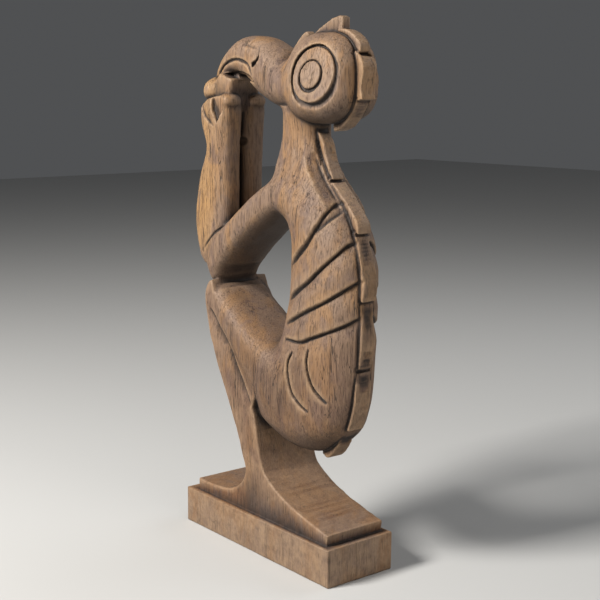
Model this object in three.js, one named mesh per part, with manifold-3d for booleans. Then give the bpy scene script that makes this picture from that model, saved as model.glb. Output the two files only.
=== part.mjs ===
// A tangata manu, the crouching bird-headed man, carved with its plinth from one upright block of wood.
// Millimetres. The figure faces -Y, its left side is +X, and Z = 0 is the underside of the plinth.
import * as THREE from "three";
import { mergeVertices } from "three/addons/utils/BufferGeometryUtils.js";
import Module from "manifold-3d";

const wasm = await Module();
wasm.setup();

// Plinth and foot block
const PLINTH = { width: 65, length: 190, height: 30, edge: 1 };
const FOOT_HALF_WIDTH = 28;
const TOE = -83;
const HEEL = 89;

// The figure's midline stands this far to its left of the plinth's
const LEAN = 1.5;

// Torso stations from rump to neck: height, front and back of the section, half width, squareness
const TORSO = [
  { z: 92, front: 38, back: 52, half: 6, square: 2 },
  { z: 95, front: 22, back: 64, half: 15, square: 2 },
  { z: 102, front: 3, back: 75, half: 22.5, square: 2.1 },
  { z: 114, front: -13, back: 86, half: 28, square: 2.5 },
  { z: 134, front: -14, back: 94, half: 29, square: 2.5 },
  { z: 160, front: 4, back: 99, half: 29, square: 2.2 },
  { z: 185, front: 16, back: 101, half: 28, square: 2.1 },
  { z: 210, front: 24, back: 102, half: 27.5, square: 2.1 },
  { z: 240, front: 27, back: 101, half: 27.5, square: 2.1 },
  { z: 262, front: 26, back: 95, half: 27.5, square: 2.1 },
  { z: 280, front: 14, back: 85, half: 26.5, square: 2.1 },
  { z: 292, front: 4, back: 75, half: 24, square: 2.1 },
  { z: 304, front: 1, back: 65, half: 20.5, square: 2.1 },
  { z: 320, front: 7, back: 56, half: 17.5, square: 2.1 },
  { z: 336, front: 12, back: 51, half: 16.5, square: 2.1 },
  { z: 352, front: 13, back: 52, half: 18, square: 2.1 },
];

// Limbs and beak: centre of the section in side view, half thickness, half width, squareness
const UPPER_ARM = [
  { y: 34, z: 286, thick: 14, half: 22, square: 2.4 },
  { y: 14, z: 286, thick: 15, half: 24.5, square: 2.6 },
  { y: -8, z: 275, thick: 14.5, half: 25, square: 2.8 },
  { y: -34, z: 257, thick: 14, half: 25, square: 3 },
  { y: -58, z: 239, thick: 16, half: 25, square: 3 },
  { y: -66, z: 227, thick: 13, half: 24, square: 3 },
  { y: -64, z: 218, thick: 8, half: 20, square: 3 },
];
const FOREARM = [
  { y: -65, z: 211, thick: 9, half: 11, square: 2.4 },
  { y: -66, z: 220, thick: 13, half: 12, square: 2.6 },
  { y: -69, z: 236, thick: 19.5, half: 13, square: 2.6 },
  { y: -72, z: 262, thick: 22, half: 12.5, square: 2.6 },
  { y: -69, z: 292, thick: 20.5, half: 11.5, square: 2.6 },
  { y: -63, z: 320, thick: 15, half: 11, square: 2.6 },
  { y: -65, z: 345, thick: 20, half: 13, square: 2.6 },
  { y: -65, z: 356, thick: 19.5, half: 13, square: 2.6 },
  { y: -65, z: 362, thick: 16, half: 11.5, square: 2.4 },
];
const FOREARM_OFFSET = 11.5;
const THIGH = [
  { y: -64, z: 207, thick: 9, half: 23, square: 3 },
  { y: -60, z: 200, thick: 12, half: 26, square: 3.2 },
  { y: -49, z: 190, thick: 13, half: 27, square: 3.2 },
  { y: -35, z: 179, thick: 14.5, half: 28.5, square: 3 },
  { y: -19, z: 166, thick: 18, half: 29.5, square: 3 },
  { y: -3, z: 154, thick: 22.5, half: 29.5, square: 3 },
  { y: 14, z: 143, thick: 30, half: 29.5, square: 2.8 },
  { y: 32, z: 136, thick: 36, half: 29, square: 2.5 },
];
const BEAK = [
  { y: 40, z: 372, thick: 24, half: 24, square: 2.2 },
  { y: 16, z: 372, thick: 19.5, half: 22, square: 2.2 },
  { y: -2, z: 380, thick: 21, half: 20, square: 2.3 },
  { y: -19, z: 388.5, thick: 19.5, half: 18, square: 2.4 },
  { y: -36, z: 393, thick: 16, half: 16, square: 2.5 },
  { y: -51, z: 391, thick: 11.5, half: 14, square: 2.6 },
  { y: -63, z: 385, thick: 8.5, half: 12, square: 2.6 },
  { y: -73, z: 377, thick: 6, half: 9.5, square: 2.4 },
  { y: -79, z: 369.5, thick: 3, half: 5, square: 2.2 },
];
const HEAD = { y: 58, z: 374.5, half: 28, length: 34, height: 32, square: 2.5 };
const EGG = { y: -67, z: 365.5, half: 22, length: 20, height: 12.5, square: 2.3 };

// Spine plates from the brow to the tail: outer edge in side view down to the notched end, half width
const SPINE_SINK = 9;
const SPINE = [
  { half: 3.5, edge: [[28, 401], [32, 406.5], [37.5, 409.5], [43, 408.5]] },
  { half: 5, edge: [[42, 405], [50, 412], [60, 417], [70, 420], [74, 417], [77, 411]], sink: 12 },
  { half: 5, edge: [[77, 407], [84, 408], [91, 404.5], [96, 399], [97, 391.5]] },
  { half: 7.5, edge: [[92, 394], [99, 390], [101, 382], [99, 372], [98, 361]] },
  { half: 6.5, edge: [[91, 361], [86, 348], [77, 339]] },
  { half: 5.5, edge: [[47, 341], [57, 330], [61, 318], [69, 302]] },
  { half: 6.5, edge: [[63, 305], [78, 293], [90, 281], [97, 272], [98, 264.5]] },
  { half: 7, edge: [[93, 266], [99, 252], [104, 236], [106, 226], [104, 215.5]] },
  { half: 6.5, edge: [[101, 218], [102, 202], [103, 184], [100, 164]] },
  { half: 7.5, edge: [[96, 167], [99, 150], [96, 132], [90, 116]] },
  { half: 7, edge: [[86, 120], [78, 103], [66, 90], [57, 94]] },
];

// Facets round and along each rounded part
const FACETS = {
  thigh: [20, 9],
  torso: [26, 21],
  upperArm: [20, 8],
  forearm: [16, 12],
  head: [22, 13],
  beak: [16, 12],
  egg: [16, 8],
  line: 8,
  rib: 8,
  ring: 24,
  bore: 12,
};

// Carved lines on each side, in side view: line points (y, z), width, depth, and the share of the
// width to the left of the deepest line as it runs
const CARVED_LINES = {
  rumpInner: { line: [[47, 173], [43, 161], [46, 145], [56, 135], [66, 129]], width: 3.6, depth: 4, lean: 0.5 },
  rumpOuter: { line: [[66, 178], [65, 167], [67, 156], [73, 146], [82, 138]], width: 3.6, depth: 4, lean: 0.5 },
  shin: {
    line: [[-63, 190], [-47, 177], [-36, 166], [-28, 154], [-20, 142], [-12, 130], [-6, 121]],
    width: 6,
    depth: 2.2,
    lean: 0.8,
  },
  mouth: {
    line: [[-66, 379], [-58, 385.5], [-48, 389.5], [-36, 391], [-24, 389], [-16, 384], [-14, 378]],
    width: 3,
    depth: 2.6,
    lean: 0.5,
  },
  elbow: { line: [[-74, 240], [-66, 248], [-56, 256], [-44, 262]], width: 2.6, depth: 2, lean: 0.5 },
};

// Grooves between the ribs: height near the spine, at the flank and at the breast
const RIB_ANGLES = [72, 20, -42];
const RIBS = [
  { heights: [283, 264.5, 238], width: 11, depth: 4.2 },
  { heights: [257, 236.5, 210], width: 9, depth: 3.6 },
  { heights: [229.5, 211, 192], width: 9, depth: 3.6 },
  { heights: [202, 187, 179], width: 9, depth: 3.6 },
];

// The eye: its centre in side view, how far it looks back, and its two ring grooves
const EYE = { y: 66, z: 376, turn: 10, roundness: 0.92 };
const EYE_RINGS = [
  { radius: 21, width: 4.4, depth: 3.4 },
  { radius: 10.2, width: 3, depth: 2.8 },
];

// Notch in the side of each hand, the slot under the beak, and the bore between the wrists
const HAND_NOTCH = { outline: [[-56.5, 341], [-69, 357], [-64, 372], [-52, 372], [-50, 359]], floor: 21 };
const BEAK_SLOT = { outline: [[-62, 378], [-44, 382], [-26, 381], [-18, 374], [-40, 373.5]], floor: 8 };
const WRIST_BORE = { z: 326.4, radius: 4.3, front: -90, back: -35 };

// A solid from a closed geometry, and a geometry from a solid
function solidOf(geometry) {
  const bare = geometry.clone();
  bare.deleteAttribute("normal");
  bare.deleteAttribute("uv");
  const merged = mergeVertices(bare, 1e-4);
  return new wasm.Manifold(
    new wasm.Mesh({
      numProp: 3,
      vertProperties: new Float32Array(merged.attributes.position.array),
      triVerts: new Uint32Array(merged.index.array),
    }),
  );
}

function geometryOf(solid) {
  const mesh = solid.getMesh();
  const geometry = new THREE.BufferGeometry();
  geometry.setAttribute("position", new THREE.BufferAttribute(mesh.vertProperties, 3));
  geometry.setIndex(new THREE.BufferAttribute(mesh.triVerts, 1));
  geometry.computeVertexNormals();
  return geometry;
}

// A value that runs smoothly through the stations: t goes from 0 at the first to 1 at the last
function along(stations, key, t) {
  const last = stations.length - 1;
  const place = Math.min(Math.max(t, 0), 1) * last;
  const i = Math.min(Math.floor(place), last - 1);
  const u = place - i;
  const at = (k) => stations[Math.min(Math.max(k, 0), last)][key];
  const before = at(i - 1);
  const a = at(i);
  const b = at(i + 1);
  const after = at(i + 2);
  const slopeA = (b - before) / 2;
  const slopeB = (after - a) / 2;
  const u2 = u * u;
  const u3 = u2 * u;
  return a * (2 * u3 - 3 * u2 + 1) + slopeA * (u3 - 2 * u2 + u) + b * (3 * u2 - 2 * u3) + slopeB * (u3 - u2);
}

// A unit superellipse: square 2 is an ellipse, and more is boxier
function roundedSection(angle, square) {
  const c = Math.cos(angle);
  const s = Math.sin(angle);
  const power = 2 / square;
  return [Math.sign(c) * Math.abs(c) ** power, Math.sign(s) * Math.abs(s) ** power];
}

// A closed skin over rings of points, with a fan over each end
function skin(rings) {
  const around = rings[0].length;
  const points = rings.flat();
  const faces = [];
  for (let j = 0; j + 1 < rings.length; j++) {
    for (let i = 0; i < around; i++) {
      const next = (i + 1) % around;
      const a = j * around + i;
      const b = j * around + next;
      faces.push(a, b, b + around, a, b + around, a + around);
    }
  }
  const middle = (ring) => ring.reduce((sum, p) => sum.add(p), new THREE.Vector3()).divideScalar(around);
  const first = points.push(middle(rings[0])) - 1;
  const end = points.push(middle(rings[rings.length - 1])) - 1;
  const top = (rings.length - 1) * around;
  for (let i = 0; i < around; i++) {
    const next = (i + 1) % around;
    faces.push(first, next, i);
    faces.push(end, top + i, top + next);
  }
  const geometry = new THREE.BufferGeometry().setFromPoints(points);
  geometry.setIndex(faces);
  return geometry;
}

// A body of level sections, given by their front and back
function uprightBody(stations, around, steps) {
  const rings = [];
  for (let j = 0; j <= steps; j++) {
    const t = j / steps;
    const z = along(stations, "z", t);
    const front = along(stations, "front", t);
    const back = along(stations, "back", t);
    const half = along(stations, "half", t);
    const square = along(stations, "square", t);
    const ring = [];
    for (let i = 0; i < around; i++) {
      const [across, deep] = roundedSection((2 * Math.PI * i) / around, square);
      ring.push(new THREE.Vector3(half * across, (front + back) / 2 + ((back - front) / 2) * deep, z));
    }
    rings.push(ring);
  }
  return skin(rings);
}

// A limb whose sections stand square to its centre line, which runs in side view at the distance offset
function limb(stations, offset, around, steps) {
  const centre = (t) => new THREE.Vector3(0, along(stations, "y", t), along(stations, "z", t));
  const rings = [];
  for (let j = 0; j <= steps; j++) {
    const t = j / steps;
    const nudge = 1e-3;
    const tangent = centre(t + nudge).sub(centre(t - nudge)).normalize();
    const out = new THREE.Vector3(0, -tangent.z, tangent.y);
    const thick = along(stations, "thick", t);
    const half = along(stations, "half", t);
    const square = along(stations, "square", t);
    const ring = [];
    for (let i = 0; i < around; i++) {
      const [across, deep] = roundedSection((2 * Math.PI * i) / around, square);
      ring.push(centre(t).addScaledVector(out, -thick * deep).setX(offset + half * across));
    }
    rings.push(ring);
  }
  return skin(rings);
}

// A rounded block: an ellipsoid where square is 2
function roundedBlock({ y, z, half, length, height, square }, around, steps) {
  const rings = [];
  for (let j = 1; j < steps; j++) {
    const [reach, rise] = roundedSection(Math.PI * (j / steps - 0.5), square);
    const ring = [];
    for (let i = 0; i < around; i++) {
      const [across, deep] = roundedSection((2 * Math.PI * i) / around, square);
      ring.push(new THREE.Vector3(half * across * reach, y + length * deep * reach, z + height * rise));
    }
    rings.push(ring);
  }
  return skin(rings);
}

// A side-view outline given a width: outline points are (y, z)
function plank(outline, halfWidth, edge) {
  const geometry = new THREE.ExtrudeGeometry(outline, {
    depth: 2 * (halfWidth - edge),
    bevelThickness: edge,
    bevelSize: edge,
    bevelOffset: -edge,
    bevelSegments: 1,
    curveSegments: 6,
  });
  geometry.translate(0, 0, edge - halfWidth);
  // Shape x becomes Y, shape y becomes Z, and the extrusion runs along X.
  geometry.applyMatrix4(new THREE.Matrix4().set(0, 0, 1, 0, 1, 0, 0, 0, 0, 1, 0, 0, 0, 0, 0, 1));
  return geometry;
}

function plinth() {
  const { width, length, height, edge } = PLINTH;
  const outline = new THREE.Shape();
  outline.moveTo(-length / 2, 0);
  outline.lineTo(length / 2, 0);
  outline.lineTo(length / 2, height);
  outline.lineTo(-length / 2, height);
  outline.closePath();
  return plank(outline, width / 2, edge);
}

function legs() {
  const sunk = PLINTH.height - 2;
  const outline = new THREE.Shape();
  outline.moveTo(TOE, sunk);
  outline.lineTo(HEEL - 2, sunk);
  outline.lineTo(HEEL, 38.5);
  outline.bezierCurveTo(62, 44.5, 30, 50, 10, 67);
  outline.bezierCurveTo(3, 76, 2, 90, -1, 102);
  outline.lineTo(-6, 118);
  outline.lineTo(2, 136);
  outline.bezierCurveTo(-10, 156, -30, 170, -50, 196);
  outline.lineTo(-62, 212);
  outline.bezierCurveTo(-69, 207, -69, 190, -60, 160);
  outline.bezierCurveTo(-48, 130, -30, 105, -17, 70);
  outline.bezierCurveTo(-13, 58, -22, 47, -40, 42);
  outline.bezierCurveTo(-55, 39, -70, 39, TOE, 40);
  outline.closePath();
  return plank(outline, FOOT_HALF_WIDTH, 1.5);
}

// One spine plate: a slab between its outer edge and a line sunk into the body
function spinePlate({ edge, half, sink = SPINE_SINK }) {
  const outer = edge.map(([y, z]) => new THREE.Vector2(y, z));
  const inner = outer.map((p, i) => {
    const before = outer[Math.max(i - 1, 0)];
    const after = outer[Math.min(i + 1, outer.length - 1)];
    const run = after.clone().sub(before).normalize();
    return new THREE.Vector2(p.x + run.y * sink, p.y - run.x * sink);
  });
  const outline = new THREE.Shape([...outer, ...inner.reverse()]);
  return plank(outline, half, 0.8);
}

function join(geometries) {
  return geometries.map(solidOf).reduce((whole, piece) => whole.add(piece));
}

// The other side's copy, turned right side out again
function mirrored(geometry) {
  const copy = geometry.index ? geometry.toNonIndexed() : geometry.clone();
  copy.scale(-1, 1, 1);
  const p = copy.attributes.position;
  const a = new THREE.Vector3();
  const b = new THREE.Vector3();
  for (let i = 0; i < p.count; i += 3) {
    a.fromBufferAttribute(p, i + 1);
    b.fromBufferAttribute(p, i + 2);
    p.setXYZ(i + 1, b.x, b.y, b.z);
    p.setXYZ(i + 2, a.x, a.y, a.z);
  }
  return copy;
}

// Where a straight line from outside first meets the body, with the surface's direction there
function touch(body, from, towards) {
  const ray = new THREE.Raycaster(from, towards.clone().normalize());
  const [first] = ray.intersectObject(body);
  return { point: first.point, out: first.face.normal.clone() };
}

// A cutter that runs along marks on a surface: a three-sided groove, its deepest line at the marks
function groove(marks, { width, depth, lean = 0.5, closed = false }) {
  const clear = 1.5;
  const last = marks.length - 1;
  const rings = marks.map(({ point, out }, i) => {
    const before = marks[closed ? (i + last) % marks.length : Math.max(i - 1, 0)].point;
    const after = marks[closed ? (i + 1) % marks.length : Math.min(i + 1, last)].point;
    const run = after.clone().sub(before).normalize();
    const up = out.clone().addScaledVector(run, -out.dot(run)).normalize();
    const side = run.clone().cross(up);
    const taper = closed ? 1 : Math.min(1, 0.35 + 2.6 * Math.min(i / last, 1 - i / last));
    const spread = (width * taper * (depth + clear)) / depth;
    const at = (across, high) => point.clone().addScaledVector(side, across).addScaledVector(up, high);
    return [at(-spread * lean, clear), at(spread * (1 - lean), clear), at(0, -depth * taper)];
  });
  return closed ? hoop(rings) : skin(rings);
}

// A closed skin over rings that follow one another round a loop
function hoop(rings) {
  const around = rings[0].length;
  const faces = [];
  for (let j = 0; j < rings.length; j++) {
    const here = j * around;
    const there = ((j + 1) % rings.length) * around;
    for (let i = 0; i < around; i++) {
      const next = (i + 1) % around;
      faces.push(here + i, here + next, there + next, here + i, there + next, there + i);
    }
  }
  const geometry = new THREE.BufferGeometry().setFromPoints(rings.flat());
  geometry.setIndex(faces);
  return geometry;
}

// Points spaced evenly along a smooth line drawn in side view
function drawn(line, steps) {
  const curve = new THREE.SplineCurve(line.map(([y, z]) => new THREE.Vector2(y, z)));
  return curve.getSpacedPoints(steps);
}

function carvedLine(body, { line, width, depth, lean }) {
  const marks = drawn(line, FACETS.line).map(({ x: y, y: z }) =>
    touch(body, new THREE.Vector3(60, y, z), new THREE.Vector3(-1, 0, 0)),
  );
  return groove(marks, { width, depth, lean });
}

// A rib groove winds down the torso from the spine to the breast
function ribGroove(body, { heights, width, depth }) {
  const axis = { y: 62, reach: 90 };
  const line = RIB_ANGLES.map((angle, i) => [angle, heights[i]]);
  const marks = drawn(line, FACETS.rib).map(({ x: angle, y: z }) => {
    const turn = THREE.MathUtils.degToRad(angle);
    const away = new THREE.Vector3(Math.cos(turn), Math.sin(turn), 0);
    const start = new THREE.Vector3(0, axis.y, z).addScaledVector(away, axis.reach);
    return touch(body, start, away.negate());
  });
  return groove(marks, { width, depth, lean: 0.85 });
}

function eyeRing(body, { radius, width, depth }) {
  const turn = THREE.MathUtils.degToRad(EYE.turn);
  const out = new THREE.Vector3(Math.cos(turn), Math.sin(turn), 0);
  const back = new THREE.Vector3(-Math.sin(turn), Math.cos(turn), 0);
  const marks = Array.from({ length: FACETS.ring }, (_, i) => {
    const angle = (2 * Math.PI * i) / FACETS.ring;
    const start = new THREE.Vector3(20, EYE.y, EYE.z)
      .addScaledVector(out, 60)
      .addScaledVector(back, radius * EYE.roundness * Math.cos(angle));
    start.z += radius * Math.sin(angle);
    return touch(body, start, out.clone().negate());
  });
  return groove(marks, { width, depth, closed: true });
}

// A pocket sunk from the side down to a level floor
function pocket({ outline, floor }) {
  const shape = new THREE.Shape(outline.map(([y, z]) => new THREE.Vector2(y, z)));
  const geometry = new THREE.ExtrudeGeometry(shape, { depth: 40, bevelEnabled: false });
  geometry.translate(0, 0, floor);
  geometry.applyMatrix4(new THREE.Matrix4().set(0, 0, 1, 0, 1, 0, 0, 0, 0, 1, 0, 0, 0, 0, 0, 1));
  return geometry;
}

function wristBore() {
  const { z, radius, front, back } = WRIST_BORE;
  const geometry = new THREE.CylinderGeometry(radius, radius, back - front, FACETS.bore);
  geometry.translate(0, (front + back) / 2, z);
  return geometry;
}

// Everything that is carved alike on both sides, cut into the left side of a body
function sideCuts(geometry) {
  const body = new THREE.Mesh(geometry);
  return [
    ...Object.values(CARVED_LINES).map((cut) => carvedLine(body, cut)),
    ...RIBS.map((rib) => ribGroove(body, rib)),
    ...EYE_RINGS.map((ring) => eyeRing(body, ring)),
    pocket(HAND_NOTCH),
    pocket(BEAK_SLOT),
  ];
}

function bird() {
  const rough = join([
    legs().translate(-LEAN, 0, 0),
    limb(THIGH, 0, ...FACETS.thigh),
    uprightBody(TORSO, ...FACETS.torso),
    limb(UPPER_ARM, 0, ...FACETS.upperArm),
    limb(FOREARM, FOREARM_OFFSET, ...FACETS.forearm),
    limb(FOREARM, -FOREARM_OFFSET, ...FACETS.forearm),
    roundedBlock(HEAD, ...FACETS.head),
    limb(BEAK, 0, ...FACETS.beak),
    roundedBlock(EGG, ...FACETS.egg),
  ]);
  const shape = geometryOf(rough);
  const cuts = [...sideCuts(shape), ...sideCuts(mirrored(shape)).map(mirrored), wristBore()];
  const carved = cuts.map(solidOf).reduce((whole, cut) => whole.subtract(cut), rough);
  return carved.add(join(SPINE.map(spinePlate)));
}

function figure() {
  const upper = geometryOf(bird());
  upper.translate(LEAN, 0, 0);
  return join([plinth(), upper]);
}

const wood = new THREE.MeshStandardMaterial({ color: 0x8a6444, roughness: 0.72, metalness: 0 });
const body = new THREE.Mesh(geometryOf(figure()), wood);
body.name = "birdman_figure";

const group = new THREE.Group();
group.add(body);
export default group;
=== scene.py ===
# %% [markdown]
# # A carved birdman in old wood
#
# This lesson dresses a small wooden statue: a crouching man with a bird's head, carved with its stepped
# plinth from one upright block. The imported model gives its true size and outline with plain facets. Here
# the same forms are worked again the way a carver works: block out, round over, cut in, and wear down.

import math

import bpy
import numpy as np
import openvdb
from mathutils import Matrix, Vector


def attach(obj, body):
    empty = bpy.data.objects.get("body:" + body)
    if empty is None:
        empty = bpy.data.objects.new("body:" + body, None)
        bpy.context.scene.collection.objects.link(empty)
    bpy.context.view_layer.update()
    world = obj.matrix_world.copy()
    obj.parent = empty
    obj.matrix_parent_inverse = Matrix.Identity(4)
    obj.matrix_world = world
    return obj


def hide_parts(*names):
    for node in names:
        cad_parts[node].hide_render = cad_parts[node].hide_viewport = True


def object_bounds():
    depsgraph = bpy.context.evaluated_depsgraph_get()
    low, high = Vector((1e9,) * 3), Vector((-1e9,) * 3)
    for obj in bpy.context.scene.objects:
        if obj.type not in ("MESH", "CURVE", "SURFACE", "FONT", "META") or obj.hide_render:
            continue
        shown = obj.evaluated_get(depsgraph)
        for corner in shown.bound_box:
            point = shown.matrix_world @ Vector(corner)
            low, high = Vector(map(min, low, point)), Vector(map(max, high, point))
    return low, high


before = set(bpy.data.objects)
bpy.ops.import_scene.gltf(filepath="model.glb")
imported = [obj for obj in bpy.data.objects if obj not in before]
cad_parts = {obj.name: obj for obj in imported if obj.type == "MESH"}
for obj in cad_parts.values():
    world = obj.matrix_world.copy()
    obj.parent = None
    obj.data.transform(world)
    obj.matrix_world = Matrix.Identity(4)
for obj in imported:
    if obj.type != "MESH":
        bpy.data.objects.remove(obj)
cad_low, cad_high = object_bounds()
print("packed model", [round(v * 1000, 1) for v in (*cad_low, *cad_high)], "mm")

# %% [markdown]
# ## The camera
#
# The camera comes first, so that every later step can be looked at from the same place. The statue is seen
# from behind its left shoulder, a little from above. A long lens keeps the plinth's edges nearly parallel.

# %% Stand the camera behind the left shoulder
camera_data = bpy.data.cameras.new("camera")
camera_data.lens = 72
camera_data.sensor_width = 36
camera = bpy.data.objects.new("camera", camera_data)
bpy.context.collection.objects.link(camera)
camera.location = (0.5734, 0.7444, 0.3667)
looking = Vector((-0.6119, -0.7720, -0.1719))
camera.rotation_euler = looking.to_track_quat("-Z", "Y").to_euler()
bpy.context.scene.camera = camera
print("camera", round(camera.location.length, 3), "m from the plinth's centre")

# %% [markdown]
# ## A block of cells
#
# Subdivision surfaces suit forms with clean loops, but a carving is full of places where one mass melts
# into the next and a groove stops halfway. So the wood is a block of small cells, and each cell holds its
# distance to the surface: negative inside, positive outside. Joining two masses, rounding the valley
# between them and cutting a groove are then plain sums on those numbers. The unit here is the millimetre.

# %% Lay out the cells
CELL = 0.8
X = np.arange(-35.2, 35.6, CELL, dtype=np.float32)[:, None, None]
Y = np.arange(-97.6, 109.2, CELL, dtype=np.float32)[None, :, None]
Z = np.arange(-2.4, 423.2, CELL, dtype=np.float32)[None, None, :]
wood = np.full((X.size, Y.size, Z.size), 12.0, np.float32)
LEAN = 1.5
BX = X - LEAN
print("block of", wood.shape, "cells,", round(wood.size / 1e6, 1), "million")


# %% Pick the part of the block that a piece needs
def window(y_low, y_high, z_low, z_high):
    columns = np.nonzero((Y.ravel() >= y_low) & (Y.ravel() <= y_high))[0]
    levels = np.nonzero((Z.ravel() >= z_low) & (Z.ravel() <= z_high))[0]
    j = slice(columns[0], columns[-1] + 1)
    k = slice(levels[0], levels[-1] + 1)
    return (slice(None), j, k), Y[:, j], Z[:, :, k]


# %% [markdown]
# ## Joining masses
#
# A hard union leaves a knife-sharp valley. Real tools and a hundred years of hands leave a soft one, so the
# union takes a blend width: the larger it is, the more the two masses flow together.

# %% Soft union and soft cut
def soft_union(a, b, blend):
    share = np.clip(0.5 + 0.5 * (b - a) / blend, 0, 1)
    return b + (a - b) * share - blend * share * (1 - share)


def soft_cut(a, b, blend):
    return -soft_union(-a, -b, blend)


def add_mass(place, mass, blend):
    wood[place] = soft_union(wood[place], mass, blend)


def blur(cells, reach):
    for axis in range(3):
        total = cells.copy()
        for step in range(1, reach + 1):
            total += np.roll(cells, step, axis) + np.roll(cells, -step, axis)
        cells = total / (2 * reach + 1)
    return cells


# %% [markdown]
# ## Stations
#
# A limb is described like a boat's hull: a few stations along it, each with a centre, a thickness, a width
# and a squareness, and a smooth curve through them. Squareness 2 is an ellipse, and more is boxier.

# %% A smooth value through the stations
def along(rows, column, t):
    values = np.array([row[column] for row in rows], float)
    last = len(values) - 1
    place = np.clip(t, 0, 1) * last
    i = np.minimum(np.floor(place).astype(int), last - 1)
    u = place - i
    before, a = values[np.maximum(i - 1, 0)], values[i]
    b, after = values[i + 1], values[np.minimum(i + 2, last)]
    slope_a, slope_b = (b - before) / 2, (after - a) / 2
    rise = 3 * u**2 - 2 * u**3
    return a + (b - a) * rise + slope_a * (u**3 - 2 * u**2 + u) + slope_b * (u**3 - u**2)


# %% Distance from a drawn line in side view
def measure_from(line, ys, zs):
    """Signed distance to the line, positive on its left as seen from the statue's left side, the length
    walked along it, and its whole length."""
    near = np.full(np.broadcast(ys, zs).shape, 1e9)
    side = np.ones_like(near)
    walked = np.zeros_like(near)
    start = 0.0
    last = len(line) - 2
    for i, ((ay, az), (by, bz)) in enumerate(zip(line, line[1:])):
        length = math.hypot(by - ay, bz - az)
        ty, tz = (by - ay) / length, (bz - az) / length
        ahead = (ys - ay) * ty + (zs - az) * tz
        off = ty * (zs - az) - tz * (ys - ay)
        held = np.clip(ahead, 0, length)
        gap = (ahead - held) ** 2 + off**2
        closer = gap < near
        near = np.where(closer, gap, near)
        side = np.where(closer, np.where(off < 0, -1.0, 1.0), side)
        low = -1e9 if i == 0 else 0
        high = 1e9 if i == last else length
        walked = np.where(closer, start + np.clip(ahead, low, high), walked)
        start += length
    return np.sqrt(near) * side, walked, start


# %% [markdown]
# ## The trunk
#
# The torso is one egg-shaped mass, widest at the rump and hips, narrow at the neck. Its sections are level,
# so each level of cells looks up its own front, back and width. The distance is then evened out by its own
# slope, which keeps it true under the rump, where the surface turns flat.

# %% Block out the trunk
TORSO = [  # height, front, back, half width, squareness
    (92, 38, 52, 6, 2.0), (95, 22, 64, 15, 2.0), (102, 3, 75, 22.5, 2.1), (114, -13, 86, 28, 2.5),
    (134, -14, 94, 29, 2.5), (160, 4, 99, 29, 2.2), (185, 16, 101, 28, 2.1), (210, 24, 102, 27.5, 2.1),
    (240, 27, 101, 27.5, 2.1), (262, 26, 95, 27.5, 2.1), (280, 14, 85, 26.5, 2.1), (292, 4, 75, 24, 2.1),
    (304, 1, 65, 20.5, 2.1), (320, 7, 56, 17.5, 2.1), (336, 12, 51, 16.5, 2.1), (352, 13, 52, 18, 2.1),
]
steps = np.linspace(0, 1, 400)


def trunk_section(levels):
    heights = along(TORSO, 0, steps)
    front, back, half, square = (np.interp(levels, heights, along(TORSO, i, steps)) for i in (1, 2, 3, 4))
    return (front + back) / 2, (back - front) / 2, half, square


def round_section(across, half, deep, reach, square):
    f = ((np.abs(across) / half) ** square + (np.abs(deep) / reach) ** square) ** (1 / square)
    return np.hypot(across, deep) * (1 - 1 / np.maximum(f, 1e-3))


place, ys, zs = window(-30, 109, 84, 356)
middle, reach, half, square = trunk_section(zs)
trunk = round_section(BX, half, ys - middle, reach, square).astype(np.float32)
slopes = np.gradient(trunk, CELL)
trunk /= np.maximum(np.sqrt(sum(s * s for s in slopes)), 0.6)
trunk = np.maximum(trunk, 92 - zs).astype(np.float32)
add_mass(place, trunk, 1.0)
print("trunk from", TORSO[0][0], "to", TORSO[-1][0], "mm high")

# %% [markdown]
# ## Arms, thighs and beak
#
# These follow a centre line that bends in side view. Each column of cells finds the nearest point of that
# line, and the section there says how far away the skin is. The far end of a limb is rounded off.

# %% A limb from stations
def limb(rows, margin=14, offset=0.0, round_end=3.0):
    """rows: centre y, centre z, half thickness, half width, squareness."""
    t = np.linspace(0, 1, 90)
    line = list(zip(along(rows, 0, t), along(rows, 1, t)))
    wide = max(row[2] for row in rows) + margin
    y_all, z_all = [p[0] for p in line], [p[1] for p in line]
    place, ys, zs = window(min(y_all) - wide, max(y_all) + wide, min(z_all) - wide, max(z_all) + wide)
    off, walked, length = measure_from(line, ys, zs)
    lengths = np.concatenate([[0], np.cumsum([math.dist(a, b) for a, b in zip(line, line[1:])])])
    at = np.interp(walked, lengths, t)
    past = np.maximum(-walked, walked - length)
    beside = np.sqrt(np.maximum(off**2 - np.maximum(past, 0) ** 2, 0))
    skin = round_section(BX - offset, along(rows, 3, at), beside, along(rows, 2, at), along(rows, 4, at))
    return place, soft_cut(skin, np.broadcast_to(past, skin.shape), round_end).astype(np.float32)


# %% The upper arms, carved as one plank, and the merged thighs
UPPER_ARM = [
    (34, 286, 14, 22, 2.4), (14, 286, 15, 24.5, 2.6), (-8, 275, 14.5, 25, 2.8), (-34, 257, 14, 25, 3),
    (-58, 239, 16, 25, 3), (-65, 227, 13, 24.5, 3), (-66, 212, 6, 21, 2.6),
]
THIGH = [
    (-64, 207, 9, 23, 3), (-60, 200, 12, 26, 3.2), (-49, 190, 13, 27, 3.2), (-35, 179, 14.5, 28.5, 3),
    (-19, 166, 18, 29.5, 3), (-3, 154, 22.5, 29.5, 3), (14, 143, 30, 29.5, 2.8), (32, 136, 36, 29, 2.5),
]
arm_place, arm = limb(UPPER_ARM)
add_mass(arm_place, blur(arm, round(2.4 / CELL)), 9)
thigh_place, thigh = limb(THIGH)
at_knee = np.interp(Y[:, thigh_place[1]], [-48, -20], [1.6, 6]).astype(np.float32)
add_mass(thigh_place, thigh, at_knee)
print("arms and thighs joined to the trunk")

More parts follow.
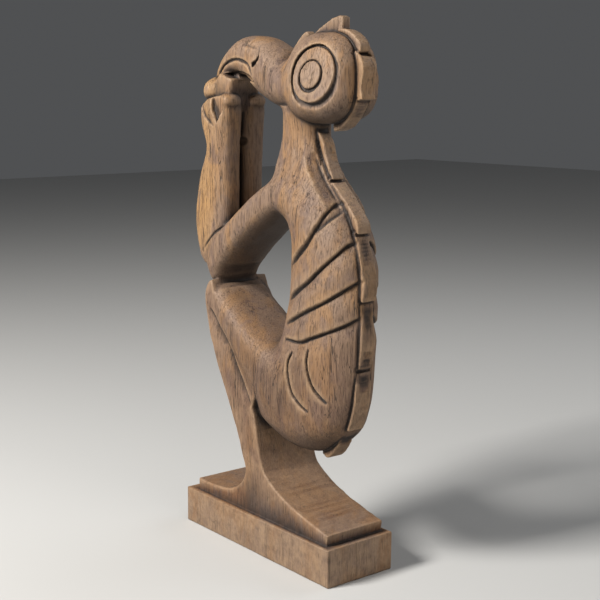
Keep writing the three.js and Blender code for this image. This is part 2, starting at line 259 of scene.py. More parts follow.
# %% The forearms, side by side, with a valley between them
FOREARM = [
    (-66.5, 228, 13, 12, 2.5), (-69, 238, 19, 13, 2.6), (-72, 262, 22, 12.5, 2.6), (-69, 292, 20.5, 11.5, 2.6),
    (-63, 320, 15, 11, 2.6), (-65, 343, 18.5, 12.5, 2.6), (-65, 354, 18, 13, 2.6), (-66, 361, 14.5, 11.5, 2.4),
]
place, left = limb(FOREARM, offset=11.5)
_, right = limb(FOREARM, offset=-11.5)
add_mass(place, soft_union(left, right, 1.5), 1.6)
print("forearms rise to", FOREARM[-1][1], "mm")

# %% [markdown]
# ## Head, beak and egg
#
# The head is a rounded block, flat enough at the sides to carry the big ringed eyes. The beak leaves it as
# a second neck, arches forward and hooks down onto the egg that the raised hands cup.

# %% Round blocks
def round_block(y, z, half, length, height, square, taper=0.0, margin=12):
    place, ys, zs = window(y - length - margin, y + length + margin, z - height - margin, z + height + margin)
    deep, rise = ys - y, zs - z
    wide = half - taper * rise
    total = (np.abs(BX) / wide) ** square + (np.abs(deep) / length) ** square + (np.abs(rise) / height) ** square
    f = total ** (1 / square)
    far = np.sqrt(BX**2 + deep**2 + rise**2)
    return place, (far * (1 - 1 / np.maximum(f, 1e-3))).astype(np.float32)


BEAK = [
    (40, 372, 24, 24, 2.2), (16, 372, 19.5, 22, 2.2), (-2, 380, 21, 20, 2.3), (-19, 388.5, 19.5, 18, 2.4),
    (-36, 393, 16, 16, 2.5), (-51, 391, 11.5, 14, 2.6), (-63, 385, 8.5, 12, 2.6), (-73, 377, 6, 9.5, 2.4),
    (-79, 369.5, 3, 5, 2.2),
]
place, head = round_block(60, 375.5, 27, 35.5, 33, 2.7, taper=0.1)
add_mass(place, head, 1.8)
add_mass(*limb(BEAK), 5)
add_mass(*round_block(-74, 366.5, 20.5, 12.5, 12.5, 2.1), 1.0)
print("head, beak and egg in place")

# %% [markdown]
# ## Shins and foot block
#
# The shins and feet were sawn as one board: a side-view outline carried straight across. Its top dips in
# front of the ankle and runs down behind it as a long ramp. The corners are rubbed round.

# %% A board from a side-view outline
def bezier(a, b, c, d, count=14):
    t = np.linspace(0, 1, count + 1)[1:, None]
    a, b, c, d = (np.array(p, float) for p in (a, b, c, d))
    return [tuple(p) for p in (1 - t) ** 3 * a + 3 * (1 - t) ** 2 * t * b + 3 * (1 - t) * t**2 * c + t**3 * d]


def outline_distance(points, ys, zs):
    """Distance to a closed outline in side view, negative inside it."""
    near = np.full(np.broadcast(ys, zs).shape, 1e9)
    inside = np.zeros(near.shape, bool)
    for (ay, az), (by, bz) in zip(points, points[1:] + points[:1]):
        ey, ez = by - ay, bz - az
        if ey == 0 and ez == 0:
            continue
        share = np.clip(((ys - ay) * ey + (zs - az) * ez) / (ey * ey + ez * ez), 0, 1)
        near = np.minimum(near, (ys - ay - share * ey) ** 2 + (zs - az - share * ez) ** 2)
        if az != bz:
            crosses = ((az > zs) != (bz > zs)) & (ys < ay + (zs - az) * ey / ez)
            inside ^= crosses
    return np.where(inside, -1, 1) * np.sqrt(near)


def board(points, half, soft, across, margin=10):
    y_all, z_all = [p[0] for p in points], [p[1] for p in points]
    place, ys, zs = window(min(y_all) - margin, max(y_all) + margin, min(z_all) - margin, max(z_all) + margin)
    flat = outline_distance(points, ys, zs) + soft
    wide = np.abs(across) - half + soft
    outer = np.hypot(np.maximum(flat, 0), np.maximum(wide, 0))
    return place, (outer + np.minimum(np.maximum(flat, wide), 0) - soft).astype(np.float32)


# %% Saw the shin and foot board
TOE, HEEL = -83, 89
leg_outline = [(TOE, 26), (HEEL - 2, 26), (HEEL, 38.5)]
leg_outline += bezier((HEEL, 38.5), (62, 44.5), (30, 50), (10, 67))
leg_outline += bezier((10, 67), (3, 76), (2, 90), (-1, 102))
leg_outline += [(-6, 118), (2, 136)]
leg_outline += bezier((2, 136), (-10, 156), (-30, 170), (-50, 196))
leg_outline += [(-57, 205), (-61, 214.5)]
leg_outline += bezier((-61, 214.5), (-74, 211), (-73, 190), (-60, 160))
leg_outline += bezier((-60, 160), (-48, 130), (-30, 105), (-17, 70))
leg_outline += bezier((-17, 70), (-13, 58), (-22, 47), (-40, 42))
leg_outline += bezier((-40, 42), (-55, 39), (-70, 39), (TOE, 40))
add_mass(*board(leg_outline, 28, 1.6, X), 2.2)
print("board of", len(leg_outline), "corners, 56 mm wide")

# %% The wood left standing between the palms
palm_outline = [(-72, 345), (-74, 372), (-62, 381), (-50, 381), (-46, 375), (-49, 364), (-51, 350)]
add_mass(*board(palm_outline, 15.5, 4.0, BX), 1.5)
place, ys, zs = window(-66, -36, 350, 372)
thumb = np.sqrt(((np.abs(BX) - 12.5) / 1.5) ** 2 + ((ys + 52) / 1.25) ** 2 + (zs - 358.5) ** 2) - 6.2
add_mass(place, thumb.astype(np.float32), 1.2)

# %% The plinth
PLINTH = {"width": 65, "length": 190, "height": 30}
low, high = -PLINTH["length"] / 2, PLINTH["length"] / 2
plinth_outline = [(low, 0), (high, 0), (high, PLINTH["height"]), (low, PLINTH["height"])]
add_mass(*board(plinth_outline, PLINTH["width"] / 2, 1.2, X), 1.2)

# %% [markdown]
# ## The spine
#
# From the brow to the tail the backbone is a row of plates that overlap like shingles. Each ends below in a
# small square ledge that throws a dark shadow, so the plates are boards whose lower ends stand proud.

# %% Lay the plates
SPINE = [  # half width, depth into the body, outer edge from its upper to its lower end
    (3.5, 9, [(16, 395), (24, 403), (30, 408), (35, 410), (38, 407)]),
    (5, 10, [(73, 410), (80, 410), (87, 407.5), (93.5, 403), (97, 398.5), (97, 392.5)]),
    (6.8, 11, [(92.5, 395), (98.5, 391), (102.5, 383), (101.5, 375), (100.5, 368), (101.5, 360)]),
    (6.5, 10, [(96.5, 361), (92, 353), (86, 346), (79, 340), (70, 337.5)]),
    (5.5, 9, [(47, 341), (57, 330), (61, 318), (69, 302)]),
    (6.5, 9, [(65, 304), (78, 293), (90, 281), (97, 272), (98, 264.5)]),
    (7, 9, [(94.5, 267), (98.5, 256), (103.5, 238), (105.5, 226), (104, 215.5)]),
    (6.5, 9, [(101.5, 218), (102.5, 202), (103, 184), (100, 164)]),
    (7.5, 9, [(98, 167), (99, 150), (96, 132), (90, 116)]),
    (7, 9, [(86, 120), (78, 103), (66, 90), (57, 94)]),
]


def plate(half, sink, edge):
    t = np.linspace(0, 1, 16)
    outer = np.stack([along(edge, 0, t), along(edge, 1, t)], 1)
    run = np.gradient(outer, axis=0)
    run /= np.linalg.norm(run, axis=1)[:, None]
    inner = outer + np.stack([run[:, 1], -run[:, 0]], 1) * sink
    points = [tuple(p) for p in (*outer, *inner[::-1])]
    return board(points, half, 0.9, BX, margin=4)


for half, sink, edge in SPINE:
    place, mass = plate(half, sink, edge)
    body = wood[place].copy()
    joint = np.clip(1 - np.maximum(np.abs(body), np.abs(mass)) / 1.3, 0, 1)
    wood[place] = soft_union(body, mass, 0.8) + 1.1 * joint
crest = [(38, 400), (43, 407), (50, 411.3), (57, 414.6), (65, 417.8), (73, 420), (76.5, 419), (76.5, 411), (74, 402), (56, 396)]
add_mass(*board(crest, 4.3, 1.5, BX), 1.6)
print(len(SPINE), "plates and a crest")


# %% Undercut their lower ends
def cut_out(place, hole, blend):
    wood[place] = soft_cut(wood[place], -np.broadcast_to(hole, wood[place].shape), blend).astype(np.float32)


for half, _, edge in [SPINE[i] for i in (1, 2, 4, 5, 6, 7, 8)]:
    end_y, end_z = edge[-1]
    place, ys, zs = window(end_y - 8, end_y + 6, end_z - 5, end_z + 3)
    under = np.maximum(np.abs(zs - end_z + 0.9) - 1.0, end_y - 3.6 - ys)
    cut_out(place, np.maximum(under, np.abs(BX) - half - 0.4), 0.4)
print("ledges undercut by 3.6 mm")

# %% [markdown]
# ## Cutting in
#
# With the masses blocked out, cutting is a sum: adding to the cells' distance sinks the surface by that
# much. A cut is drawn as a line in side view, with its own width on each side and a depth that fades
# towards its ends, the way a gouge enters and leaves the wood.

# %% A gouge line on both sides
def fade(walked, length, run_in):
    return np.clip(np.minimum(walked, length - walked) / run_in, 0, 1) ** 0.6


def gouge(line, left, right, depth, run_in=8.0, inner=0.0):
    t = np.linspace(0, 1, 40)
    smooth = list(zip(along(line, 0, t), along(line, 1, t)))
    y_all, z_all = [p[0] for p in smooth], [p[1] for p in smooth]
    wide = max(left, right) + 2
    place, ys, zs = window(min(y_all) - wide, max(y_all) + wide, min(z_all) - wide, max(z_all) + wide)
    off, walked, length = measure_from(smooth, ys, zs)
    profile = np.clip(1 - np.where(off > 0, off / left, -off / right), 0, 1)
    cut = depth * profile * fade(walked, length, run_in)
    wood[place] += np.where(np.abs(BX) > inner, cut, 0).astype(np.float32)


# %% Two crescent cuts on the rump
gouge([(47.5, 173), (44, 166), (43, 159), (45, 149), (49, 140.5), (56, 134.5), (66, 129)], 1.6, 1.6, 4.2)
gouge([(66, 178), (65, 170), (65.5, 163), (68, 154), (73, 146), (82, 138)], 1.6, 1.6, 4.2)

# %% The edge of the shin, the fold of the elbow and the beak's mouth
shin_line = [(-63, 191), (-54, 183), (-46, 175), (-36, 165), (-29, 155), (-21, 143), (-13, 131), (-6, 119)]
gouge(shin_line, 1.0, 8.5, 2.4, run_in=14)
gouge([(-74, 239), (-66, 247), (-58, 254.5), (-46, 261)], 0.9, 1.3, 1.6)
gouge([(-69, 379), (-63, 384.5), (-53, 389), (-40, 391), (-29, 389.7), (-21, 386.9), (-16.5, 382), (-15, 377)],
      1.2, 1.8, 2.6, 5)
gouge([(-8.5, 401), (-8, 397.5), (-6, 394)], 0.9, 0.9, 0.9, 3)
gouge([(-33, 402), (-20, 400), (-10, 398)], 2.5, 1.0, 0.7, 6)
gouge([(-58, 215.5), (-50, 216.5), (-38, 219)], 1.1, 1.1, 2.8, 5)
gouge([(50.6, 331), (52.9, 322), (57.2, 310)], 0.9, 0.9, 2.6, 3)
gouge([(-79, 361), (-72, 347.5), (-59, 338)], 9, 1.0, 1.5, 7)
print("gouge lines cut")

# %% A flat behind the shoulder
SHOULDER_EDGE = [(47, 320), (52.4, 309), (62.6, 297), (74, 286), (78, 278)]
place, ys, zs = window(46, 104, 272, 324)
off, walked, length = measure_from(SHOULDER_EDGE, ys, zs)
flat = 5.0 * np.clip(off / 9, 0, 1) * fade(walked, length, 6)
flat -= 1.4 * np.clip(1 + off / 12, 0, 1) * (off < 0) * fade(walked, length, 12)
wood[place] += np.where(np.abs(BX) > 7.5, flat, 0).astype(np.float32)
gouge([(70, 264), (76, 271), (80, 276.5), (82, 282)], 3.2, 2.2, 2.4, 8)
print("shoulder flat cut", round(float(flat.max()), 1), "mm deep")

# %% [markdown]
# ## The ribs
#
# Four slanting cuts on each flank make the ribs. Each has a steep wall above and a long slope below, so a
# rib seems to slide out from under the one over it. The cuts wind round the body, so they are drawn by the
# angle round the trunk and the height.

# %% Cut the ribs
RIBS = [  # angle round the trunk and height, from the spine to the breast
    [(80, 286), (53, 280), (22, 266), (-2, 253.5), (-42, 237)],
    [(80, 258), (61, 254.5), (39, 245.5), (17, 235), (-2, 225.5), (-45, 210)],
    [(80, 231), (55, 223.5), (29, 214), (8, 207), (-40, 191)],
    [(80, 204), (50, 195.5), (32, 190.5), (13, 185), (-3, 180.5), (-32, 180)],
]
place, ys, zs = window(-2, 109, 160, 300)
middle, reach, half, square = trunk_section(zs)
angle = np.degrees(np.arctan2((ys - middle) / reach, np.abs(BX) / half))
for number, rib in enumerate(RIBS):
    rib = rib[::-1]
    angles, heights = along(rib, 0, steps), along(rib, 1, steps)
    above = zs - np.interp(angle, angles, heights)
    ends = np.clip(np.minimum(angle - angles[0], angles[-1] - angle) / 14, 0, 1) ** 0.7
    slope = np.clip(1 + above / (17 if number == 0 else 14), 0, 1) ** 1.4
    wall = np.clip(1 - above / 3.0, 0, 1) ** 1.4
    step = np.clip(-above / 0.9, 0, 1)
    wood[place] += (4.2 * ends * np.where(above < 0, slope * (1 - 0.35 * step), wall)).astype(np.float32)
print(len(RIBS), "rib cuts on each flank")

# %% [markdown]
# ## The eye
#
# The eye is a flat boss inside a deep ring, with a second ring round its pupil. The rings are measured in a
# plane that looks a little backwards, because the head narrows there.

# %% Ring the eyes
EYE = {"x": 23.7, "y": 67.4, "z": 378.0, "turn": math.radians(6), "tilt": math.radians(12)}
BOSS, RING, PUPIL, PUPIL_RING = 20.2, 23.2, 10.0, 12.0
place, ys, zs = window(36, 100, 346, 410)
out, back, up = np.abs(BX) - EYE["x"], ys - EYE["y"], zs - EYE["z"]
level = out * math.cos(EYE["turn"]) + back * math.sin(EYE["turn"])
proud = level * math.cos(EYE["tilt"]) + up * math.sin(EYE["tilt"])
rise = up * math.cos(EYE["tilt"]) - level * math.sin(EYE["tilt"])
back = back * math.cos(EYE["turn"]) - out * math.sin(EYE["turn"])
from_middle = np.hypot(back, rise)
from_ring = np.hypot(back, rise + 1.3)
from_pupil = np.hypot(back + 3.2, rise)
from_pupil_ring = np.hypot(back + 2.8, rise + 1.1)


add_mass(place, np.maximum(np.maximum(from_middle - BOSS, proud), -12 - proud).astype(np.float32), 0.4)
cut_out(place, np.maximum(from_middle - BOSS, -proud), 0.5)
floor = -2.6 - 1.6 * np.clip(0.3 - rise / 30, 0, 1)
cut_out(place, np.maximum(np.maximum(from_ring - RING, BOSS - from_middle), floor - proud), 0.7)
cut_out(place, np.maximum(np.maximum(from_pupil_ring - PUPIL_RING, PUPIL - from_pupil), -2.2 - proud), 0.5)
print("eye bosses", BOSS, "mm and pupils", PUPIL, "mm in radius")

# %% [markdown]
# ## Hands, beak slot and the bore between the wrists
#
# The last cuts are pockets: a V between thumb and palm, the gap under the beak's edge, and a small round
# hole that runs through between the wrists.

# %% Sink the pockets
def pocket(points, floor, blend=0.8):
    y_all, z_all = [p[0] for p in points], [p[1] for p in points]
    place, ys, zs = window(min(y_all) - 4, max(y_all) + 4, min(z_all) - 4, max(z_all) + 4)
    cut_out(place, np.maximum(outline_distance(points, ys, zs), floor - np.abs(BX)), blend)


pocket([(-56, 341.5), (-60.5, 351), (-61.5, 360), (-55, 368), (-46, 366.5), (-44.5, 361), (-49, 353)], 20.5)
pocket([(-59, 380), (-44, 382.3), (-29, 381), (-18, 378), (-12, 373), (-22, 373.5), (-37, 375), (-50, 376.5)], 6)
pocket([(-6, 394.2), (-8.5, 390), (-14.5, 387.5), (-14.2, 384.3), (-9, 385.8), (-5.3, 389.6)], 15.5)

place, ys, zs = window(-97, -35, 315, 338)
cut_out(place, np.hypot(BX, zs - 326.4) - 4.2, 0.6)
print("pockets and bore sunk")

# %% [markdown]
# ## From cells to a mesh
#
# The volume library draws a skin of quads through the zero of the cells. That skin is far denser on the
# flats than it needs to be, so a Decimate modifier thins it where it is flat and keeps it where it bends.

# %% Skin the cells
grid = openvdb.FloatGrid()
grid.background = 3.0
grid.copyFromArray(np.clip(wood, -3, 3))
points, _, quads = grid.convertToPolygons(isovalue=0.0, adaptivity=0.0)
origin = np.array([X.flat[0], Y.flat[0], Z.flat[0]])
points = points * CELL + origin
corners = points[quads]
volume = np.einsum("ij,ij->i", corners[:, 0], np.cross(corners[:, 1], corners[:, 2])).sum()
if volume < 0:
    quads = quads[:, ::-1]
print(len(points), "points,", len(quads), "quads")

# %% Make the statue's mesh and thin it
SKIN_TRIANGLES = 190000


def mesh_of(name, points, faces):
    mesh = bpy.data.meshes.new(name)
    mesh.from_pydata((points / 1000).tolist(), [], faces.tolist())
    return mesh


statue = bpy.data.objects.new("birdman", mesh_of("birdman", points, quads))
bpy.context.collection.objects.link(statue)
thin = statue.modifiers.new("thin", "DECIMATE")
thin.ratio = min(1.0, SKIN_TRIANGLES / (2 * len(quads)))
thinned = bpy.data.meshes.new_from_object(statue.evaluated_get(bpy.context.evaluated_depsgraph_get()))
statue.modifiers.clear()
statue.data = thinned
statue.data.polygons.foreach_set("use_smooth", [True] * len(statue.data.polygons))
print("thinned to", sum(len(p.vertices) - 2 for p in statue.data.polygons), "triangles")

# %% [markdown]
# ## Reading the shape back
#
# Age shows by shape: dirt stays in hollows and edges rub pale. Blurring the cells a little and looking at
# the value on the surface tells one from the other. A wide blur tells open places from enclosed ones, and
# that reading, together with the faces that look down, becomes painted shade in the colour.

# %% Read the cells at the mesh's points
def read(cells, points, size, start):
    at = (points - start) / size
    low = np.clip(np.floor(at).astype(int), 0, np.array(cells.shape) - 2)
    f = np.clip(at - low, 0, 1)
    i, j, k = low.T
    value = 0
    for a in (0, 1):
        for b in (0, 1):
            for c in (0, 1):
                w = np.abs(1 - a - f[:, 0]) * np.abs(1 - b - f[:, 1]) * np.abs(1 - c - f[:, 2])
                value = value + w * cells[i + a, j + b, k + c]
    return value


def points_of(mesh):
    flat = np.empty(len(mesh.vertices) * 3, np.float32)
    mesh.vertices.foreach_get("co", flat)
    return flat.reshape(-1, 3) * 1000


def normals_of(mesh):
    flat = np.empty(len(mesh.vertices) * 3, np.float32)
    mesh.vertices.foreach_get("normal", flat)
    return flat.reshape(-1, 3)


# %% Keep the readings as attributes
skin = points_of(statue.data)
outward = normals_of(statue.data)
close = np.clip(wood, -6, 6)
bend = read(blur(close, round(2.4 / CELL)), skin, CELL, origin) - read(close, skin, CELL, origin)
# painted shade: how much wood surrounds each point, read 7 mm out from it
coarse = (wood[::4, ::4, ::4] < 0).astype(np.float32)
shade_enclosure = read(blur(blur(coarse, 2), 2), skin + outward * 7, CELL * 4, origin)


def keep(name, values):
    layer = statue.data.attributes.new(name, "FLOAT", "POINT")
    layer.data.foreach_set("value", values.astype(np.float32))
    print(name, "from", round(float(values.min()), 2), "to", round(float(values.max()), 2))


keep("hollow", np.clip(-bend / 0.45, 0, 1))
keep("edge", np.clip(bend / 0.6, 0, 1))
# painted shade: enclosed places and faces that look down get a dark colour, standing in for shade
keep("painted_shade_reading", np.clip(shade_enclosure * 1.5 + 1.1 * np.clip(-outward[:, 2] - 0.12, 0, 1), 0, 1))

# %% [markdown]
# ## Tool marks
#
# No carved face is truly flat. A slow wave stands for the adze, a finer one drawn out along the grain for
# the scraper and the years. Both move the points along their normals by a few tenths of a millimetre.

# %% A smooth random wave
def wave(points, size, seed):
    cells = np.random.RandomState(seed).rand(32, 32, 32) * 2 - 1
    at = points / np.array(size) + 7.3 * seed
    low = np.floor(at).astype(int)
    f = at - low
    f = f * f * (3 - 2 * f)
    value = 0
    for a in (0, 1):
        for b in (0, 1):
            for c in (0, 1):
                i, j, k = ((low + (a, b, c)) % 32).T
                w = np.abs(1 - a - f[:, 0]) * np.abs(1 - b - f[:, 1]) * np.abs(1 - c - f[:, 2])
                value = value + w * cells[i, j, k]
    return value


# %% Work the surface
adze = 0.34 * wave(skin, (11, 11, 17), 1) + 0.16 * wave(skin, (5, 5, 9), 2)
grain = 0.13 * wave(skin, (1.7, 1.7, 16), 3) + 0.08 * wave(skin, (1.1, 1.1, 7), 4)
low_edge = np.clip(1 - skin[:, 2] / 6, 0, 1) * np.clip(1 - np.abs(outward[:, 2]), 0, 1)
chips = -1.5 * low_edge * np.clip(wave(skin, (9, 9, 9), 5) + 0.1, 0, 1)
worked = skin + outward * (adze + grain + chips)[:, None]
worked[skin[:, 2] < 0.4, 2] = 0
limit_low = np.array(cad_low) * 1000
limit_high = np.array(cad_high) * 1000
worked = np.clip(worked, limit_low, limit_high)
statue.data.vertices.foreach_set("co", (worked / 1000).astype(np.float32).ravel())
statue.data.update()
print("surface moved by up to", round(float(np.abs(adze + grain).max()), 2), "mm")

# %% [markdown]
# ## Old wood
#
# The colour is built from the same readings a restorer would make: a tan ground with honey and grey-mauve
# clouds, fine upright grain, dark pores, brown dirt in the hollows and pale rubbed edges, with painted shade
# under the arms and in enclosed places and painted golden light on the forearms, hands and beak. Grain, and
# wear together with the painted shade, are node groups, so that they can be placed again with other values.

# %% Small helpers for nodes
def new_group(name, inputs, outputs):
    group = bpy.data.node_groups.new(name, "ShaderNodeTree")
    for title, kind, value in inputs:
        socket = group.interface.new_socket(title, in_out="INPUT", socket_type=kind)
        if value is not None:
            socket.default_value = value
    for title, kind in outputs:
        group.interface.new_socket(title, in_out="OUTPUT", socket_type=kind)
    start, end = group.nodes.new("NodeGroupInput"), group.nodes.new("NodeGroupOutput")
    return group, start.outputs, end.inputs


def set_input(tree, socket, value):
    if isinstance(value, bpy.types.NodeSocket):
        tree.links.new(value, socket)
    else:
        socket.default_value = value


def calc(tree, operation, a, b=0.0, c=0.0, clamp=False):
    node = tree.nodes.new("ShaderNodeMath")
    node.operation = operation
    node.use_clamp = clamp
    for socket, value in zip(node.inputs, (a, b, c)):
        set_input(tree, socket, value)
    return node.outputs[0]


def noise(tree, vector, scale, detail=3.0, roughness=0.55, distortion=0.0):
    node = tree.nodes.new("ShaderNodeTexNoise")
    set_input(tree, node.inputs["Vector"], vector)
    for title, value in (("Scale", scale), ("Detail", detail), ("Roughness", roughness), ("Distortion", distortion)):
        set_input(tree, node.inputs[title], value)
    return node.outputs["Fac"]


def stretch(tree, vector, scale):
    node = tree.nodes.new("ShaderNodeMapping")
    set_input(tree, node.inputs["Vector"], vector)
    node.inputs["Scale"].default_value = scale
    return node.outputs[0]


def ramp(tree, value, low, high):
    node = tree.nodes.new("ShaderNodeMapRange")
    node.interpolation_type = "SMOOTHSTEP"
    for socket, given in zip(node.inputs[:5], (value, low, high, 0.0, 1.0)):
        set_input(tree, socket, given)
    return node.outputs[0]


def mix(tree, share, a, b, blend="MIX"):
    node = tree.nodes.new("ShaderNodeMix")
    node.data_type = "RGBA"
    node.blend_type = blend
    sockets = [s for s in node.inputs if s.type == "RGBA"]
    set_input(tree, node.inputs[0], share)
    for socket, value in zip(sockets, (a, b)):
        set_input(tree, socket, value)
    return [s for s in node.outputs if s.type == "RGBA"][0]


# %% The upright grain
def make_grain():
    tree, given, out = new_group(
        "upright_grain",
        [("Vector", "NodeSocketVector", None), ("Scale", "NodeSocketFloat", 1.0)],
        [("Streaks", "NodeSocketFloat"), ("Bands", "NodeSocketFloat"), ("Pores", "NodeSocketFloat"),
         ("Cracks", "NodeSocketFloat"), ("Height", "NodeSocketFloat")],
    )
    sized = tree.nodes.new("ShaderNodeVectorMath")
    sized.operation = "SCALE"
    set_input(tree, sized.inputs[0], given["Vector"])
    set_input(tree, sized.inputs["Scale"], given["Scale"])
    fine = stretch(tree, sized.outputs[0], (950, 950, 55))
    broad = stretch(tree, sized.outputs[0], (150, 150, 9))
    specks = stretch(tree, sized.outputs[0], (1300, 1300, 150))
    long = stretch(tree, sized.outputs[0], (210, 210, 11))
    streaks = noise(tree, fine, 1.0, 3.0, 0.62, 0.4)
    bands = noise(tree, broad, 1.0, 3.0, 0.55, 0.6)
    pores = ramp(tree, noise(tree, specks, 1.0, 2.0, 0.5), 0.585, 0.67)
    line = calc(tree, "ABSOLUTE", calc(tree, "SUBTRACT", noise(tree, long, 1.0, 2.0, 0.5, 0.8), 0.5))
    cracks = calc(tree, "MULTIPLY", ramp(tree, line, 0.016, 0.004), ramp(tree, bands, 0.50, 0.58))
    height = calc(tree, "SUBTRACT", calc(tree, "MULTIPLY", streaks, -0.8), calc(tree, "MULTIPLY", pores, 0.5))
    height = calc(tree, "SUBTRACT", height, cracks)
    for socket, value in zip(out, (streaks, bands, pores, cracks, height)):
        set_input(tree, socket, value)
    return tree


grain_group = make_grain()
print("group", grain_group.name, "with", len(grain_group.nodes), "nodes")


# %% The wear and the painted shade that follow the shape
def make_wear_and_painted_shade():
    tree, given, out = new_group(
        "hand_wear_and_painted_shade",
        [("Vector", "NodeSocketVector", None), ("Dirt", "NodeSocketFloat", 1.0), ("Rub", "NodeSocketFloat", 1.0)],
        [("Dirt", "NodeSocketFloat"), ("Rubbed", "NodeSocketFloat"), ("Painted_shade", "NodeSocketFloat")],
    )
    readings = {}
    for name in ("hollow", "edge", "painted_shade_reading"):
        node = tree.nodes.new("ShaderNodeAttribute")
        node.attribute_name = name
        readings[name] = node.outputs["Fac"]
    patchy = noise(tree, given["Vector"], 170.0, 4.0, 0.6)
    dirt = calc(tree, "MULTIPLY", readings["hollow"], calc(tree, "MULTIPLY_ADD", patchy, 1.0, 0.5))
    rub = calc(tree, "MULTIPLY", readings["edge"], calc(tree, "MULTIPLY_ADD", patchy, 1.6, -0.1))
    set_input(tree, out[0], calc(tree, "MULTIPLY", dirt, given["Dirt"], clamp=True))
    set_input(tree, out[1], calc(tree, "MULTIPLY", rub, given["Rub"], clamp=True))
    # the third output carries the painted shade for enclosed places and undersides
    set_input(tree, out[2], readings["painted_shade_reading"])
    return tree


wear_and_shade_group = make_wear_and_painted_shade()
print("group", wear_and_shade_group.name, "with", len(wear_and_shade_group.nodes), "nodes")

# %% [markdown]
# Now the material itself. The clouds of colour are large and soft. The wood turns darker and browner towards
# the bottom, and the sawn sides of the plinth and the foot block are mottled grey and brown.

# %% Mix the old wood
TAN = (0.235, 0.150, 0.100, 1)
HONEY = (0.31, 0.165, 0.068, 1)
# painted light: a golden colour standing in for the light on the front parts
PAINTED_LIGHT_GOLD = (0.43, 0.240, 0.088, 1)
MAUVE = (0.150, 0.098, 0.084, 1)
BROWN = (0.135, 0.060, 0.027, 1)
RUST = (0.21, 0.090, 0.034, 1)
DIRT = (0.010, 0.005, 0.003, 1)
STREAK = (0.070, 0.034, 0.018, 1)
# colour of the painted shade under the arms and in enclosed places
PAINTED_SHADE = (0.026, 0.014, 0.008, 1)
PALE = (0.40, 0.262, 0.150, 1)


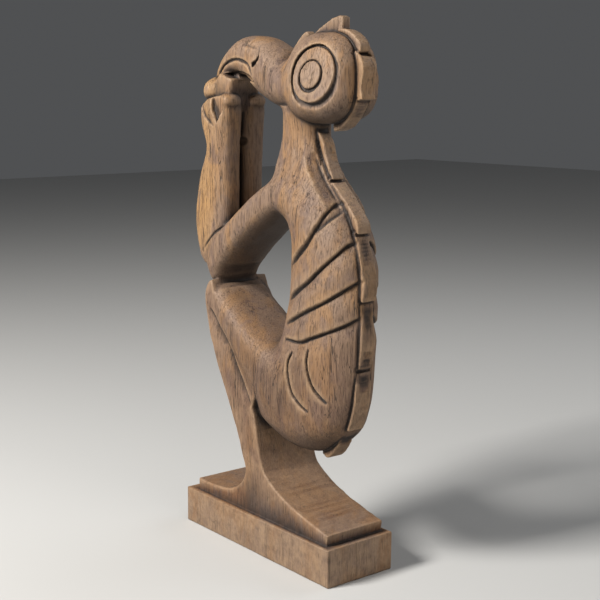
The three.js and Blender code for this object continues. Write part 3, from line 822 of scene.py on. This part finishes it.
def make_wood():
    material = bpy.data.materials.new("old_wood")
    material.use_nodes = True
    tree = material.node_tree
    shader = tree.nodes["Principled BSDF"]
    where = tree.nodes.new("ShaderNodeTexCoord").outputs["Object"]
    grain = tree.nodes.new("ShaderNodeGroup")
    grain.node_tree = grain_group
    wear_and_shade_node = tree.nodes.new("ShaderNodeGroup")
    wear_and_shade_node.node_tree = wear_and_shade_group
    set_input(tree, grain.inputs["Vector"], where)
    set_input(tree, wear_and_shade_node.inputs["Vector"], where)
    height = tree.nodes.new("ShaderNodeSeparateXYZ")
    set_input(tree, height.inputs[0], where)
    clouds = ramp(tree, noise(tree, stretch(tree, where, (30, 30, 15)), 1.0, 4.0, 0.62, 0.5), 0.44, 0.60)
    stains = ramp(tree, noise(tree, stretch(tree, where, (70, 70, 36)), 1.0, 4.0, 0.6, 0.8), 0.50, 0.66)
    forward = calc(tree, "MULTIPLY", height.outputs["Y"], -1.0)
    # painted light: the forearms, hands and front of the beak turn golden, standing in for the light that falls on
    # them
    painted_light_front = calc(tree, "MULTIPLY", ramp(tree, forward, 0.050, 0.072), ramp(tree, height.outputs["Z"], 0.22, 0.25))
    low_down = ramp(tree, height.outputs["Z"], 0.24, 0.08)
    base = ramp(tree, height.outputs["Z"], 0.052, 0.036)
    colour = mix(tree, calc(tree, "MULTIPLY", clouds, 0.85), TAN, HONEY)
    colour = mix(tree, calc(tree, "MULTIPLY", painted_light_front, 0.75), colour, PAINTED_LIGHT_GOLD)
    colour = mix(tree, calc(tree, "MULTIPLY", stains, 0.65), colour, MAUVE)
    colour = mix(tree, calc(tree, "MULTIPLY", low_down, 0.62), colour, BROWN)
    colour = mix(tree, calc(tree, "MULTIPLY", base, 0.8), colour, mix(tree, clouds, MAUVE, RUST))
    light = ramp(tree, grain.outputs["Streaks"], 0.47, 0.34)
    dark = ramp(tree, grain.outputs["Streaks"], 0.50, 0.68)
    colour = mix(tree, calc(tree, "MULTIPLY", ramp(tree, grain.outputs["Bands"], 0.5, 0.7), 0.3), colour, BROWN)
    colour = mix(tree, calc(tree, "MULTIPLY", light, 0.28), colour, PALE)
    colour = mix(tree, calc(tree, "MULTIPLY", dark, 0.72), colour, STREAK)
    colour = mix(tree, calc(tree, "MULTIPLY", grain.outputs["Pores"], 0.5), colour, DIRT)
    colour = mix(tree, calc(tree, "MULTIPLY", grain.outputs["Cracks"], 0.9), colour, DIRT)
    # painted shade: darken enclosed places and undersides
    colour = mix(tree, calc(tree, "MULTIPLY", wear_and_shade_node.outputs["Painted_shade"], 0.92), colour, PAINTED_SHADE)
    colour = mix(tree, calc(tree, "MULTIPLY", wear_and_shade_node.outputs["Rubbed"], 0.6), colour, PALE)
    colour = mix(tree, calc(tree, "MULTIPLY", wear_and_shade_node.outputs["Dirt"], 0.95), colour, DIRT)
    set_input(tree, shader.inputs["Base Color"], colour)
    gloss = calc(tree, "MULTIPLY_ADD", wear_and_shade_node.outputs["Rubbed"], -0.14, 0.60)
    gloss = calc(tree, "MULTIPLY_ADD", grain.outputs["Streaks"], 0.16, gloss, clamp=True)
    set_input(tree, shader.inputs["Roughness"], gloss)
    bump = tree.nodes.new("ShaderNodeBump")
    bump.inputs["Strength"].default_value = 0.8
    bump.inputs["Distance"].default_value = 0.0006
    set_input(tree, bump.inputs["Height"], grain.outputs["Height"])
    set_input(tree, shader.inputs["Normal"], bump.outputs[0])
    return material


statue.data.materials.clear()
statue.data.materials.append(make_wood())
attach(statue, "root")
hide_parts("birdman_figure")
print("material old_wood on", statue.name)

# %% [markdown]
# ## Floor and light
#
# A plain pale floor and three soft lights. The main one hangs high on the left of the camera, so the ribs
# and the spine's ledges throw their shadows down and to the right. A dim sky fills the shadows.

# %% Lay the floor
floor_mesh = bpy.data.meshes.new("floor")
floor_mesh.from_pydata([(-4, -4, 0), (4, -4, 0), (4, 4, 0), (-4, 4, 0)], [], [(0, 1, 2, 3)])
floor = bpy.data.objects.new("floor", floor_mesh)
bpy.context.collection.objects.link(floor)
floor_finish = bpy.data.materials.new("floor")
floor_finish.use_nodes = True
floor_shader = floor_finish.node_tree.nodes["Principled BSDF"]
floor_shader.inputs["Base Color"].default_value = (0.55, 0.55, 0.54, 1)
floor_shader.inputs["Roughness"].default_value = 0.9
floor_mesh.materials.append(floor_finish)


# %% Hang the lights
def soft_light(name, place, size, power, tint):
    data = bpy.data.lights.new(name, "AREA")
    data.size = size
    data.energy = power
    data.color = tint
    light = bpy.data.objects.new(name, data)
    bpy.context.collection.objects.link(light)
    light.location = place
    light.rotation_euler = (Vector((0, 0, 0.2)) - Vector(place)).to_track_quat("-Z", "Y").to_euler()


soft_light("key", (1.25, -0.25, 1.15), 0.45, 44, (1.0, 0.97, 0.93))
soft_light("fill", (0.2, 1.7, 0.8), 1.2, 9, (1.0, 0.97, 0.93))
soft_light("rim", (-1.2, 0.3, 1.0), 0.8, 5, (0.95, 0.97, 1.0))
world = bpy.data.worlds.new("studio")
bpy.context.scene.world = world
world.use_nodes = True
world.node_tree.nodes["Background"].inputs["Color"].default_value = (0.8, 0.82, 0.85, 1)
world.node_tree.nodes["Background"].inputs["Strength"].default_value = 0.10
bpy.context.scene.view_settings.view_transform = "Standard"
